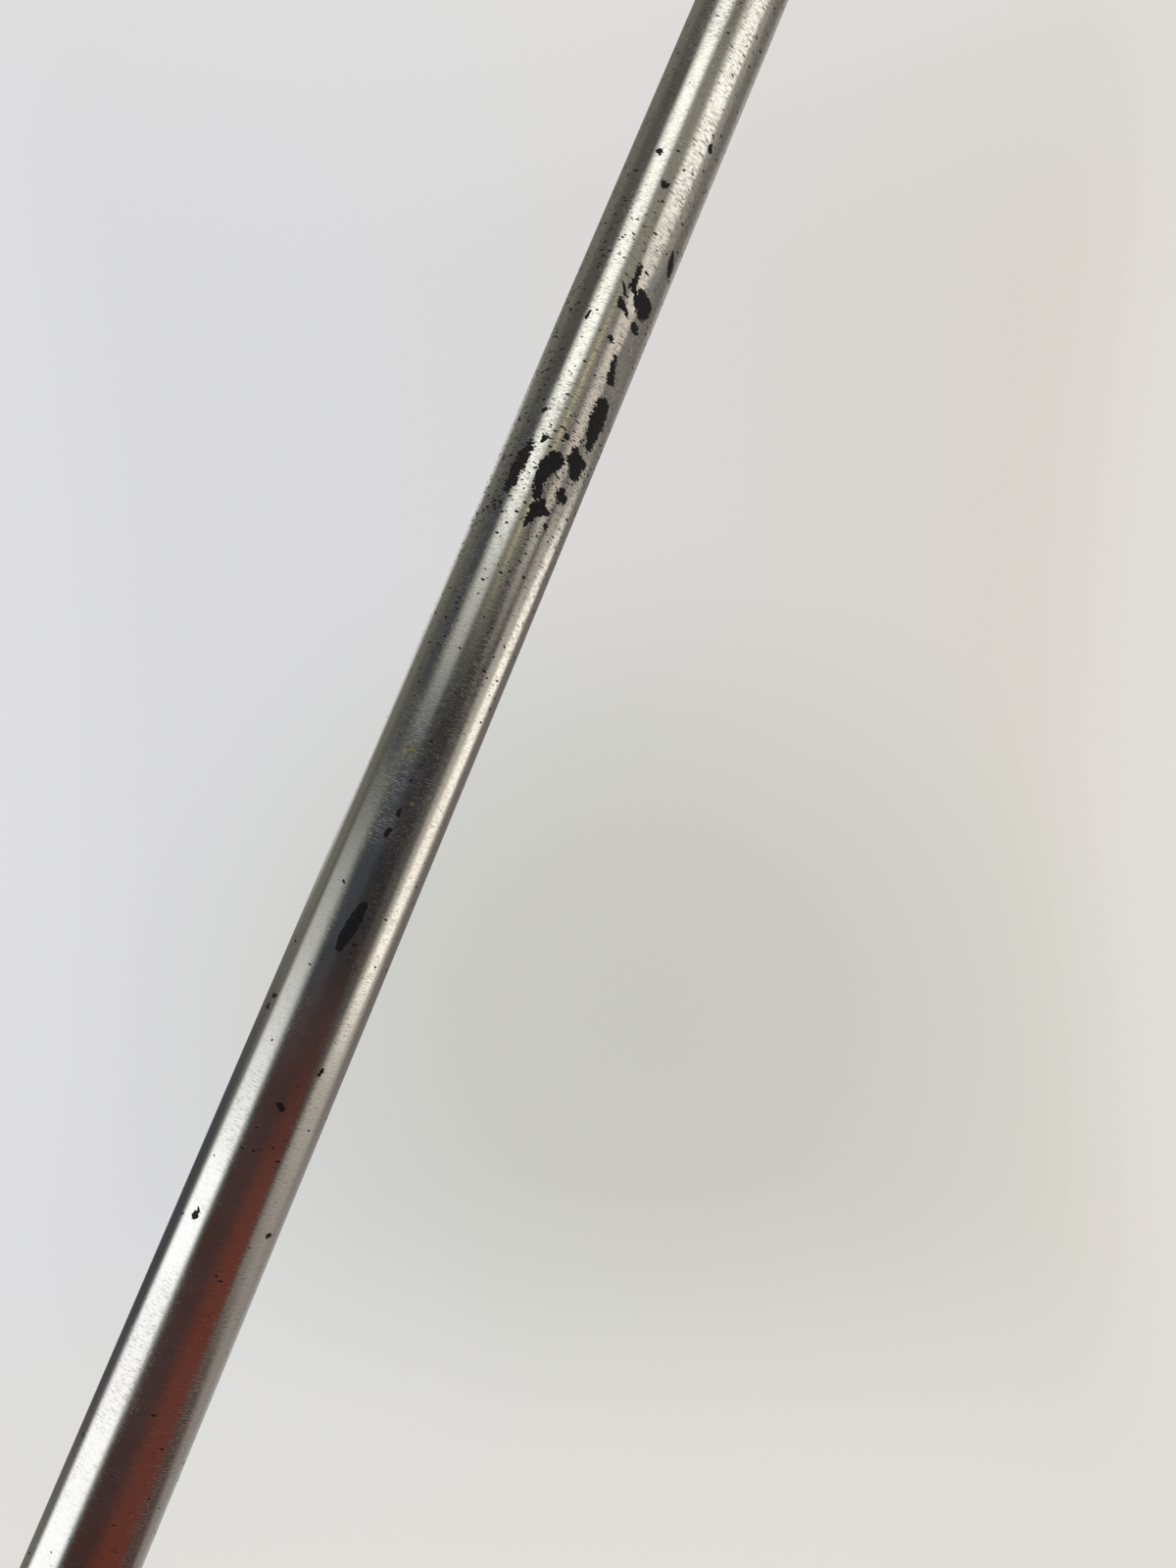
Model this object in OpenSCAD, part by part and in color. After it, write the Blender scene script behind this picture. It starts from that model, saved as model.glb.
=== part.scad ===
// Golf ball retriever: a friction-held telescopic pole with a rubber grip at the butt and a
// spring-gated ring at the tip. Millimetres, +Z up the pole, origin at the middle of the butt face.
// The pole is drawn closed; each inner section slides out towards +Z.

/* [Pole] */
// Outside diameter of the outer tube
outer_d = 19; // [18:0.5:21]
// Length of the outer tube
outer_len = 712; // [560:4:900]
// Wall thickness of every tube
wall = 0.5; // [0.4:0.05:0.6]
// Radial gap between a tube's bore and the next tube
tube_gap = 0.8; // [0.7:0.05:0.9]
// Length of the guide sleeve on the foot of each inner tube
glide_len = 45; // [30:1:60]

/* [Grip] */
// Length of the rubber grip
grip_len = 210; // [160:5:260]
// Diameter of the grip at the butt
grip_butt_d = 29; // [28:0.5:34]
// Diameter of the grip at its neck
grip_neck_d = 24.4; // [24:0.2:27]

/* [Head] */
// Diameter of the ball that the ring holds
ball_d = 42.67; // [42.67:0.01:43]
// Angle that the ring leans back from the pole
head_tilt = 30; // [20:1:40]
// Depth of the ring, from the entry edge to the back
ring_depth = 27; // [25:0.5:30]
// Wall thickness of the ring
ring_wall = 3.5; // [3:0.1:4]
// Number of drain slots in each side of the ring
drain_slots = 3; // [1:1:3]

/* [Hidden] */
$fn = 96;
eps = 0.02;      // radial room left between pieces that are pressed or bonded together
run = 0.05;      // radial clearance of a running fit
rest_gap = 0.2;  // axial gap between stacked collars when the pole is closed
cut = 50;        // length of a cutting tool that goes right through
rubber = "#262626";
steel = "#b9b7b0";
nylon = "#1c1c1e";
signal_orange = "#e4531b";

// Tubes, numbered from the outer one, which is 0, to the tip, which is 3
tubes = 4;
tip = tubes - 1;
tube_r = [for (i = [0:tip]) outer_d / 2 - i * (wall + tube_gap)];
bore_r = [for (r = tube_r) r - wall];
collar_hold = 18;   // length of a collar on its tube
collar_lip = 6;     // length of a collar that guides the next tube
collar_wall = 2;
socket_depth = 28;  // length of the tip tube inside the head
collar_step = collar_hold + collar_lip + rest_gap;

// Butt end
tab_w = 22;
tab_t = 12;
tab_h = 12;
eye_r = 3;
eye_z = 6.5;
flange_z = tab_h;
flange_h = 10;
tube_z = flange_z + flange_h;
spigot_len = 28;
butt_pin_r = 1.5;
butt_pin_z = tube_z + 16;
tape_t = 0.15;
grip_r = outer_d / 2 + tape_t;
grip_straight = 38;
ferrule_len = 14;

// Feet of the inner tubes
glide_base = 8;     // solid end of a glide, below its tube
glide_stem = 6;     // spigot of a glide, inside its tube
glide_pitch = 24;
vent_r = 2;
ring_seal_r = 0.9;  // half the thickness of an O-ring
first_glide_z = tube_z + spigot_len + 6;
foot_z = [for (i = [0:tip]) i == 0 ? tube_z : first_glide_z + (i - 1) * glide_pitch + glide_base];
mouth_z = [for (i = [0:tip]) tube_z + outer_len
    + min(i, tip - 1) * collar_step + (i == tip ? collar_lip + rest_gap + socket_depth : 0)];

// Head: the neck bends at bend_z, and the ring is drawn in its own tilted frame
socket_r = 8.5;
socket_z = mouth_z[tip] - socket_depth;
bend_z = mouth_z[tip] + 7.4;
ring_reach = 42;               // from the bend to the middle of the ring
ring_r = ball_d / 2 + 1.165;   // inside radius
ring_out = ring_r + ring_wall;
gate_room = 11;                // how far the ring is stretched to make room for the gate
entry_w = -13;                 // entry edge, along the ring's own axis
back_w = entry_w + ring_depth;
lip_t = 3;
lip_r = 19;
ledge_u = -20.5;
ledge_t = 3;
head_screw_z = mouth_z[tip] - 14;
screw_r = 1.5;
screw_seat = 6.9;

// Gate and its hinge, in the ring's frame
pivot_w = -9;
pivot_u = 27.5;
knuckle_r = 2.8;
knuckle_in = 4;
knuckle_out = 9.5;
gate_pin_r = 1.5;
gate_pin_len = 37;
gate_t = 2;
gate_arc_r = 18;
wire_r = 0.32;
coil_r = 2.3;
coil_turns = 5;
coil_pitch = 1.1;

// A cylinder along X, centred on the origin
module rod_x(r, len) {
    rotate([0, 90, 0]) cylinder(r = r, h = len, center = true);
}

// A 2D shape drawn as (X, up), given a thickness along Y from y0 to y1
module slab(y0, y1) {
    translate([0, y1, 0]) rotate([90, 0, 0]) linear_extrude(y1 - y0) children();
}

// ---- Butt end ----

// End of the tab, seen along X: flat under the middle, with round corners
module tab_shape() {
    corner = tab_h / 2;
    for (side = [-1, 1]) translate([side * (tab_w / 2 - corner), corner]) circle(corner);
    translate([-(tab_w / 2 - corner), 0]) square([tab_w - 2 * corner, corner]);
    translate([-tab_w / 2, corner]) square([tab_w, tab_h - corner + 1]);
}

module butt_cap() {
    r = grip_butt_d / 2;
    color(nylon) difference() {
        union() {
            translate([-tab_t / 2, 0, 0]) rotate([90, 0, 90]) linear_extrude(tab_t) tab_shape();
            rotate_extrude() polygon([
                [0, flange_z], [r - 2, flange_z], [r, flange_z + 2], [r, tube_z - 0.6],
                [r - 0.6, tube_z], [bore_r[0] - run, tube_z],
                [bore_r[0] - run, tube_z + spigot_len - 2],
                [bore_r[0] - 1.5, tube_z + spigot_len], [0, tube_z + spigot_len]
            ]);
        }
        translate([0, 0, eye_z]) rod_x(eye_r, cut);
        translate([0, 0, butt_pin_z]) rod_x(butt_pin_r, cut);
        translate([0, 0, tube_z + 8]) cylinder(r = 5, h = spigot_len);
    }
}

module butt_pin() {
    color(steel) translate([0, 0, butt_pin_z]) rod_x(butt_pin_r - eps, outer_d - 0.4);
}

// Thin layer that bonds the grip to the tube
module grip_tape() {
    color("#d8d2c0") translate([0, 0, tube_z + 2]) difference() {
        cylinder(r = grip_r - eps, h = grip_len - 6);
        translate([0, 0, -1]) cylinder(r = outer_d / 2 + eps, h = grip_len);
    }
}

module grip() {
    rb = grip_butt_d / 2;
    rn = grip_neck_d / 2;
    top = tube_z + grip_len;
    color(rubber) rotate_extrude() polygon([
        [grip_r, tube_z + eps], [rb - 0.8, tube_z + eps], [rb, tube_z + 0.8],
        [rb, tube_z + grip_straight], [rb - 0.9, tube_z + grip_straight + 12],
        [rn + 0.4, top - 60], [rn, top - 14], [rn - 0.4, top - 2],
        [rn - 1, top], [grip_r, top]
    ]);
}

module grip_ferrule() {
    bottom = tube_z + grip_len + rest_gap;
    rn = grip_neck_d / 2;
    color(nylon) rotate_extrude() polygon([
        [outer_d / 2 + eps, bottom], [rn - 0.6, bottom], [rn - 0.2, bottom + 0.6],
        [rn - 0.2, bottom + 2.4], [rn - 0.9, bottom + 3], [outer_d / 2 + 0.5, bottom + ferrule_len],
        [outer_d / 2 + eps, bottom + ferrule_len]
    ]);
}

// ---- Pole ----

module tube(i) {
    color(steel) difference() {
        translate([0, 0, foot_z[i]]) cylinder(r = tube_r[i], h = mouth_z[i] - foot_z[i]);
        translate([0, 0, foot_z[i] - 1]) cylinder(r = bore_r[i], h = mouth_z[i] - foot_z[i] + 2);
        if (i == 0) translate([0, 0, butt_pin_z]) rod_x(butt_pin_r, cut);
        if (i == tip) translate([0, 0, head_screw_z]) rod_x(screw_r + 0.1, cut);
    }
}

// Moulded ring on a tube's mouth, with a lip that guides the next tube and stops its glide
module collar(i) {
    hold = tube_r[i] + eps;
    out = tube_r[i] + collar_wall;
    guide = tube_r[i + 1] + run;
    low = mouth_z[i] - collar_hold;
    high = mouth_z[i] + collar_lip;
    color(nylon) rotate_extrude() polygon([
        [hold, low], [out - 1.2, low], [out - 0.4, low + 1.6], [out, low + 4],
        [out, high - 7], [out - 0.7, high - 6.4], [out - 0.7, high - 5.2], [out, high - 4.6],
        [out, high - 1], [out - 1, high], [guide + 0.4, high], [guide, high - 0.4],
        [guide, mouth_z[i] + eps], [hold, mouth_z[i] + eps]
    ]);
}

// Foot of an inner tube: a sleeve that runs in the tube outside it, with a groove for an O-ring
module glide(i) {
    out = bore_r[i - 1] - run;
    low = foot_z[i] - glide_base;
    groove_low = low + 2.5;
    groove_high = groove_low + 2 * ring_seal_r + 0.2;
    groove_r = bore_r[i - 1] - 2 * ring_seal_r - 0.1;
    color(nylon) rotate_extrude() polygon([
        [vent_r, low], [out - 0.8, low], [out, low + 0.8], [out, groove_low],
        [groove_r, groove_low], [groove_r, groove_high], [out, groove_high],
        [out, foot_z[i] + glide_len - 0.4], [out - 0.4, foot_z[i] + glide_len],
        [tube_r[i] + eps, foot_z[i] + glide_len], [tube_r[i] + eps, foot_z[i] - eps],
        [bore_r[i] - eps, foot_z[i] - eps], [bore_r[i] - eps, foot_z[i] + glide_stem],
        [vent_r, foot_z[i] + glide_stem]
    ]);
}

// Rubber ring in a glide's groove: its drag on the tube outside holds the section where it is put
module o_ring(i) {
    low = foot_z[i] - glide_base + 2.5;
    color(rubber) translate([0, 0, low + ring_seal_r + 0.1])
        rotate_extrude() translate([bore_r[i - 1] - ring_seal_r - 0.02, 0]) circle(ring_seal_r, $fn = 48);
}

module tip_plug() {
    len = 24;
    color(nylon) difference() {
        translate([0, 0, mouth_z[tip] - len]) cylinder(r = bore_r[tip] - eps, h = len);
        translate([0, 0, head_screw_z]) rod_x(screw_r + 0.1, cut);
    }
}

// ---- Head ----

// Moves children drawn with X across, Y along the ring's axis and Z away from the pole
module in_ring_frame() {
    translate([0, 0, bend_z]) rotate([-head_tilt, 0, 0]) translate([0, 0, ring_reach]) children();
}

// Outline of the ring: a circle stretched away from the pole
module ring_outline(r) {
    circle(r);
    translate([0, gate_room]) circle(r);
    translate([-r, 0]) square([2 * r, gate_room]);
}

// Slot with round ends through one side of the ring, at an angle from +X
module drain_slot(angle) {
    half = 3;
    slot_r = 3.6;
    translate([0, 0.5, gate_room / 2]) rotate([0, -angle, 0]) translate([10, 0, 0]) {
        for (end = [-1, 1]) translate([0, 0, end * half]) rotate([0, 90, 0]) cylinder(r = slot_r, h = cut);
        translate([0, -slot_r, -half]) cube([cut, 2 * slot_r, 2 * half]);
    }
}

// Tapered neck between the socket and the near side of the ring
module neck() {
    hull() {
        translate([0, 0, mouth_z[tip] - 1]) cylinder(r = socket_r, h = 3, $fn = 40);
        in_ring_frame() for (side = [-1, 1], end = [-6, 7])
            translate([side * 9, end, -ring_out + 1]) sphere(r = 3.8, $fn = 32);
    }
}

module hinge_ears() {
    for (side = [-1, 1]) translate([side * (knuckle_out + 0.3 + 4), pivot_w, pivot_u])
        rod_x(knuckle_r + 0.2, 8);
}

// Two stops on the far wall that the gate's heels close against
module gate_stops() {
    for (side = [-1, 1]) slab(entry_w + gate_t + run, pivot_w + 1) intersection() {
        ring_outline(ring_r + 0.5);
        translate([side * 6 - 2, pivot_u + knuckle_r + 0.15]) square([4, 6]);
    }
}

module head_frame() {
    color(signal_orange) difference() {
        union() {
            in_ring_frame() {
                difference() {
                    slab(entry_w, back_w) ring_outline(ring_out);
                    slab(entry_w - 1, back_w - lip_t) ring_outline(ring_r);
                }
                // ledge at the near side of the entry
                slab(entry_w, entry_w + ledge_t) intersection() {
                    ring_outline(ring_r + 0.5);
                    translate([-20, ledge_u - 10]) square([40, 10]);
                }
                gate_stops();
            }
            in_ring_frame() intersection() {
                hinge_ears();
                slab(entry_w, back_w) ring_outline(ring_r + 0.5);
            }
            difference() {
                neck();
                in_ring_frame() slab(entry_w - 1, back_w + 5) ring_outline(ring_r + 0.5);
            }
            rotate_extrude() polygon([
                [0, socket_z], [socket_r - 1.6, socket_z], [socket_r, socket_z + 2.5],
                [socket_r, mouth_z[tip] + 1], [0, mouth_z[tip] + 1]
            ]);
        }
        in_ring_frame() {
            slab(back_w - lip_t - 1, back_w + 1) circle(lip_r);
            translate([0, pivot_w, pivot_u]) rod_x(gate_pin_r, cut);
            for (i = [0:drain_slots - 1], side = [0, 180]) {
                rise = (i - (drain_slots - 1) / 2) * 38;
                drain_slot(side == 0 ? rise : 180 - rise);
            }
        }
        // bore for the tip tube
        translate([0, 0, socket_z - 1]) cylinder(r = tube_r[tip] + eps, h = socket_depth + 1 + eps);
        // cross hole, with a round seat for the screw's head and a hexagonal one for the nut
        translate([0, 0, head_screw_z]) {
            rod_x(screw_r + 0.1, cut);
            translate([screw_seat, 0, 0]) rotate([0, 90, 0]) cylinder(r = 3.6, h = 5);
            translate([-screw_seat + 0.3, 0, 0]) rotate([0, -90, 0]) cylinder(r = 3.25, h = 5, $fn = 6);
        }
    }
}

module head_washer() {
    color(steel) translate([screw_seat + eps, 0, head_screw_z]) rotate([0, 90, 0]) difference() {
        cylinder(r = 3.5, h = 0.5);
        translate([0, 0, -1]) cylinder(r = screw_r + 0.1, h = 3);
    }
}

module head_screw() {
    under_head = screw_seat + 0.5 + 2 * eps;
    color(steel) translate([under_head, 0, head_screw_z]) rotate([0, 90, 0]) difference() {
        union() {
            rotate_extrude() polygon([[0, 0], [2.75, 0], [2.75, 1], [2.3, 1.7], [1.4, 2.1], [0, 2.2]]);
            translate([0, 0, -17]) cylinder(r = screw_r, h = 17.5);
        }
        for (turn = [0, 90]) rotate([0, 0, turn]) translate([-1.6, -0.3, 1]) cube([3.2, 0.6, 2]);
    }
}

module head_nut() {
    color(steel) translate([-screw_seat + 0.3 - eps, 0, head_screw_z]) rotate([0, -90, 0]) difference() {
        cylinder(r = 3.17, h = 2.4, $fn = 6);
        translate([0, 0, -1]) cylinder(r = screw_r + eps, h = 5);
    }
}

// ---- Gate ----

module gate_pin() {
    color(steel) in_ring_frame() translate([0, pivot_w, pivot_u]) rod_x(gate_pin_r - eps, gate_pin_len);
}

// Leaf of the gate: a plate with a hollow free edge that follows the ball, and two heels
module gate_leaf() {
    near_pin = pivot_u - 5.5;
    difference() {
        polygon([
            [-knuckle_out, pivot_u], [-knuckle_out, near_pin], [-12.5, near_pin - 5], [-12.5, 10],
            [12.5, 10], [12.5, near_pin - 5], [knuckle_out, near_pin], [knuckle_out, pivot_u]
        ]);
        circle(gate_arc_r);
        translate([-knuckle_in, pivot_u - 3.7]) square([2 * knuckle_in, 10]);
    }
    for (side = [-1, 1]) translate([side * 6 - 1.6, pivot_u - 1]) square([3.2, 4.7]);
}

module gate() {
    color("#2b2b2d") in_ring_frame() difference() {
        union() {
            slab(entry_w, entry_w + gate_t) gate_leaf();
            for (side = [-1, 1]) translate([side * (knuckle_in + knuckle_out) / 2, pivot_w, pivot_u])
                rod_x(knuckle_r, knuckle_out - knuckle_in);
            // web that joins each knuckle to the leaf
            for (side = [-1, 1]) translate([side * (knuckle_in + knuckle_out) / 2 - (knuckle_out - knuckle_in) / 2,
                entry_w + 1, pivot_u - 2.4]) cube([knuckle_out - knuckle_in, 3, 2.4]);
        }
        translate([0, pivot_w, pivot_u]) rod_x(gate_pin_r + run, cut);
    }
}

// Torsion spring: one leg on the far wall of the ring, a coil round the pin, one leg on the leaf.
// Its points are (across, along the ring's axis, away from the pole), measured from the pivot.
wall_leg = 14.5;   // lean of the leg on the wall, in degrees
leaf_leg = 8.5;     // rise of the leg on the leaf, in degrees
coil_sweep = 360 * coil_turns + 90 - wall_leg + leaf_leg;
coil_steps = 90;
coil_half = coil_pitch * coil_sweep / 720;
function coil_point(t) = let (a = -wall_leg - t * coil_sweep)
    [coil_half - 2 * coil_half * t, coil_r * sin(a), coil_r * cos(a)];
spring_path = concat(
    [coil_point(0) + 12.5 * [0, cos(wall_leg), sin(wall_leg)]],
    [for (i = [0:coil_steps]) coil_point(i / coil_steps)],
    [coil_point(1) + 4.2 * [0, sin(leaf_leg), -cos(leaf_leg)]],
    [coil_point(1) + [0, 4.2 * sin(leaf_leg), -7.4]]
);

function unit(v) = v / norm(v);
function path_dir(p, i) = unit(p[min(i + 1, len(p) - 1)] - p[max(i - 1, 0)]);

// Round wire swept along a path of points that never runs straight along X
module wire(path, r, sides = 8) {
    n = len(path);
    ring = function(i) let (d = path_dir(path, i), a = unit(cross(d, [1, 0, 0])), b = cross(d, a))
        [for (k = [0:sides - 1]) path[i] + r * (cos(360 * k / sides) * a + sin(360 * k / sides) * b)];
    points = [for (i = [0:n - 1]) each ring(i)];
    faces = concat(
        [[for (k = [0:sides - 1]) k]],
        [for (i = [0:n - 2], k = [0:sides - 1])
            let (next = (k + 1) % sides)
            [i * sides + k, (i + 1) * sides + k, (i + 1) * sides + next, i * sides + next]],
        [[for (k = [sides - 1:-1:0]) (n - 1) * sides + k]]
    );
    polyhedron(points, faces);
}

module gate_spring() {
    color(steel) in_ring_frame() translate([0, pivot_w, pivot_u]) wire(spring_path, wire_r);
}

butt_cap();
butt_pin();
tube(0);  // outer_tube
collar(0);  // outer_collar
grip_tape();
grip();
grip_ferrule();
tube(1);  // second_tube
collar(1);  // second_collar
glide(1);  // second_glide
o_ring(1);  // second_o_ring
tube(2);  // third_tube
collar(2);  // third_collar
glide(2);  // third_glide
o_ring(2);  // third_o_ring
tube(3);  // tip_tube
glide(3);  // tip_glide
o_ring(3);  // tip_o_ring
tip_plug();
head_frame();
head_screw();
head_washer();
head_nut();
gate_pin();
gate_spring();
gate();
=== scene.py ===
import math

import bmesh
import bpy
import numpy as np
from mathutils import Matrix, Vector, noise


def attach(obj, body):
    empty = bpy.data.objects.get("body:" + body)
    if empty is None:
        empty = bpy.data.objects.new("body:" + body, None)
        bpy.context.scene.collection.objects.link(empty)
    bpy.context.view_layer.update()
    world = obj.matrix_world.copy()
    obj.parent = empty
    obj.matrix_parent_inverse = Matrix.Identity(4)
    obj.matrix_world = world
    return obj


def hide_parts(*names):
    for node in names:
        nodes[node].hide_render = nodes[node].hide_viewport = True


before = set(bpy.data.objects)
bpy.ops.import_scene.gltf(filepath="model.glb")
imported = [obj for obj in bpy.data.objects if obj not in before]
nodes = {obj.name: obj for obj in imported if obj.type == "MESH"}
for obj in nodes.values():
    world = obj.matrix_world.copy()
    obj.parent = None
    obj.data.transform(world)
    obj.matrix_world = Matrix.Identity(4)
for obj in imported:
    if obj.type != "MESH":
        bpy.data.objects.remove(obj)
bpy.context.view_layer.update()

MM = 0.001
scene = bpy.context.scene
scene.view_settings.view_transform = "Standard"
scene.view_settings.look = "None"

# Sizes in millimetres, as the frame was drawn
TUBE_R = [9.5, 8.2, 6.9, 5.6]
BORE_R = [9.0, 7.7, 6.4, 5.1]
FOOT_Z = [22.0, 64.0, 88.0, 112.0]
MOUTH_Z = [734.0, 758.2, 782.4, 816.6]
HEAD_SCREW_Z = 802.6
BEND_Z = 824.0
HEAD_TILT = 30.0
RING_REACH = 42.0
PIVOT = (0.0, -9.0, 27.5)
GRIP_TOP = 232.0
GRIP_R = 14.49
CAP_PIN_Z = FOOT_Z[0] + 16
CAP_PIN_HOLE_R = 1.5
HEAD_SCREW_HOLE_R = 1.6

# Tilted frame of the ring: X across, Y along the ring's axis, Z away from the pole
RING = (Matrix.Translation((0, 0, BEND_Z)) @ Matrix.Rotation(math.radians(-HEAD_TILT), 4, "X")
        @ Matrix.Translation((0, 0, RING_REACH)))
ALONG_X = Matrix.Rotation(math.radians(90), 4, "Y")


# ---------------- colours and nodes

def linear(hex_colour, share=1.0):
    """An sRGB hex colour as a linear one with alpha, times a share."""
    out = []
    for i in (1, 3, 5):
        c = int(hex_colour[i:i + 2], 16) / 255
        out.append((c / 12.92 if c <= 0.04045 else ((c + 0.055) / 1.055) ** 2.4) * share)
    return (*out, 1.0)


def add(tree, kind, inputs=None, **settings):
    """Adds one node. Settings are its own fields. Inputs are values, or nodes or sockets to link from, or a
    list of those for a socket that takes several."""
    node = tree.nodes.new(kind)
    for field, value in settings.items():
        setattr(node, field, value)
    for socket, given in (inputs or {}).items():
        for value in given if isinstance(given, list) else [given]:
            if isinstance(value, bpy.types.Node):
                value = value.outputs[0]
            if isinstance(value, bpy.types.NodeSocket):
                tree.links.new(value, node.inputs[socket])
            else:
                node.inputs[socket].default_value = value
    return node


def new_material(name, **on_shader):
    """A material with one shader, and a node that gives a point's place on the object in millimetres."""
    material = bpy.data.materials.new(name)
    material.use_nodes = True
    tree = material.node_tree
    tree.nodes.clear()
    shader = add(tree, "ShaderNodeBsdfPrincipled", {k.replace("_", " "): v for k, v in on_shader.items()})
    add(tree, "ShaderNodeOutputMaterial", {"Surface": shader})
    place = add(tree, "ShaderNodeTexCoord").outputs["Object"]
    mm = add(tree, "ShaderNodeVectorMath", {0: place, "Scale": 1 / MM}, operation="SCALE")
    return material, tree, shader, mm


def marks(tree, place, across, along, cut=None, detail=3.0):
    """Random marks about `across` mm wide round the pole and `along` mm long up it. With a cut, they fade in
    between its two levels."""
    stretched = add(tree, "ShaderNodeVectorMath", {0: place, 1: (1 / across, 1 / across, 1 / along)},
                    operation="MULTIPLY")
    found = add(tree, "ShaderNodeTexNoise",
                {"Vector": stretched, "Scale": 1.0, "Detail": detail, "Roughness": 0.55})
    if cut is None:
        return found.outputs["Fac"]
    return add(tree, "ShaderNodeMapRange", {"Value": found, "From Min": cut[0], "From Max": cut[1]},
               interpolation_type="SMOOTHSTEP").outputs[0]


def relief(tree, shader, layers):
    """Stacks bumps on the shader: pairs of a height from 0 to 1 and its depth in millimetres."""
    normal = None
    for height, depth in layers:
        inputs = {"Height": height, "Distance": abs(depth) * MM, "Strength": 1.0}
        if normal is not None:
            inputs["Normal"] = normal
        normal = add(tree, "ShaderNodeBump", inputs, invert=depth < 0)
    tree.links.new(normal.outputs[0], shader.inputs["Normal"])


def painted(tree, shader, base, layers):
    """Lays colours over a base colour. Each layer is a pattern from 0 to 1, a hex colour and its share."""
    colour = base
    for pattern, hex_colour, share in layers:
        amount = add(tree, "ShaderNodeMath", {0: pattern, 1: share}, operation="MULTIPLY")
        colour = add(tree, "ShaderNodeMix", {0: amount, 6: colour, 7: linear(hex_colour)},
                     data_type="RGBA").outputs[2]
    tree.links.new(colour, shader.inputs["Base Color"])


def varied(tree, shader, socket, pattern, low, high):
    """Lets a pattern from 0 to 1 move a shader's value from low to high."""
    moved = add(tree, "ShaderNodeMapRange", {"Value": pattern, "To Min": low, "To Max": high})
    tree.links.new(moved.outputs[0], shader.inputs[socket])


def both(tree, first, second):
    """Where two patterns are both present."""
    return add(tree, "ShaderNodeMath", {0: first, 1: second}, operation="MULTIPLY").outputs[0]


def either(tree, first, second):
    """Where one of two patterns is present."""
    return add(tree, "ShaderNodeMath", {0: first, 1: second}, operation="MAXIMUM").outputs[0]


# ---------------- materials

def ground_stainless_steel():
    """Stainless steel tube, ground round and buffed: a mirror streaked by fine lines round it and wiping marks
    along it, dulled in clouds, with short dark nicks and pits that are most frequent towards the upper end."""
    material, tree, shader, mm = new_material("ground_stainless_steel", Metallic=1.0, Anisotropic=0.35)
    tangent = add(tree, "ShaderNodeTangent", direction_type="RADIAL", axis="Z")
    tree.links.new(tangent.outputs[0], shader.inputs["Tangent"])
    axes = add(tree, "ShaderNodeSeparateXYZ", {0: mm}).outputs
    upper = add(tree, "ShaderNodeMapRange", {"Value": axes["Z"], "From Min": 470.0, "From Max": 540.0},
                interpolation_type="SMOOTHSTEP").outputs[0]
    right = add(tree, "ShaderNodeMapRange", {"Value": axes["X"], "From Min": -4.0, "From Max": 5.0},
                interpolation_type="SMOOTHSTEP").outputs[0]
    clouds = marks(tree, mm, 14, 22, (0.38, 0.72), 4)
    # grinding lines are really 0.05 mm apart; they are drawn coarser so that they show
    grinding = marks(tree, mm, 2.2, 0.3, None, 5)
    wiping = marks(tree, mm, 0.35, 26, None, 2)
    rubbed = add(tree, "ShaderNodeMapRange", {"Value": upper, "To Min": 0.35, "To Max": 1.0}).outputs[0]
    worse_side = add(tree, "ShaderNodeMapRange",
                     {"Value": either(tree, right, clouds), "To Min": 0.25, "To Max": 1.0}).outputs[0]
    nick_area = both(tree, rubbed, worse_side)
    nicks = both(tree, marks(tree, mm, 1.5, 0.17, (0.58, 0.65), 1), nick_area)
    pits = both(tree, marks(tree, mm, 0.45, 0.5, (0.67, 0.71), 2), nick_area)
    patches = both(tree, marks(tree, mm, 7, 12, (0.4, 0.6), 3), rubbed)
    bloom = both(tree, marks(tree, mm, 0.9, 0.7, (0.46, 0.62), 4), patches)
    stain = both(tree, marks(tree, mm, 5, 9, (0.55, 0.7), 4), bloom)
    painted(tree, shader, linear("#d2d2d0"), [
        (clouds, "#c2c1bd", 0.4), (stain, "#8d8170", 0.35), (bloom, "#a39d93", 0.22),
        (nicks, "#3f3b37", 0.75), (pits, "#26241f", 0.85)])
    dull = add(tree, "ShaderNodeMath", {0: clouds, 1: bloom}, operation="ADD").outputs[0]
    varied(tree, shader, "Roughness", dull, 0.10, 0.17)
    relief(tree, shader, [(both(tree, grinding, rubbed), 0.006), (wiping, 0.005), (bloom, 0.003),
                          (nicks, -0.016), (pits, -0.03)])
    return material


def finish(name, base, patterns, colours, rough, heights, **on_shader):
    """A material from named patterns, each as marks takes it: (across, along, cut, detail). The colours, the
    roughness and the relief then name the pattern that they follow."""
    material, tree, shader, mm = new_material(name, **on_shader)
    found = {label: marks(tree, mm, *size) for label, size in patterns.items()}
    painted(tree, shader, linear(base), [(found[label], *layer) for label, *layer in colours])
    if rough:
        varied(tree, shader, "Roughness", found[rough[0]], *rough[1:])
    relief(tree, shader, [(found[label], depth) for label, depth in heights])
    return material


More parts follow.
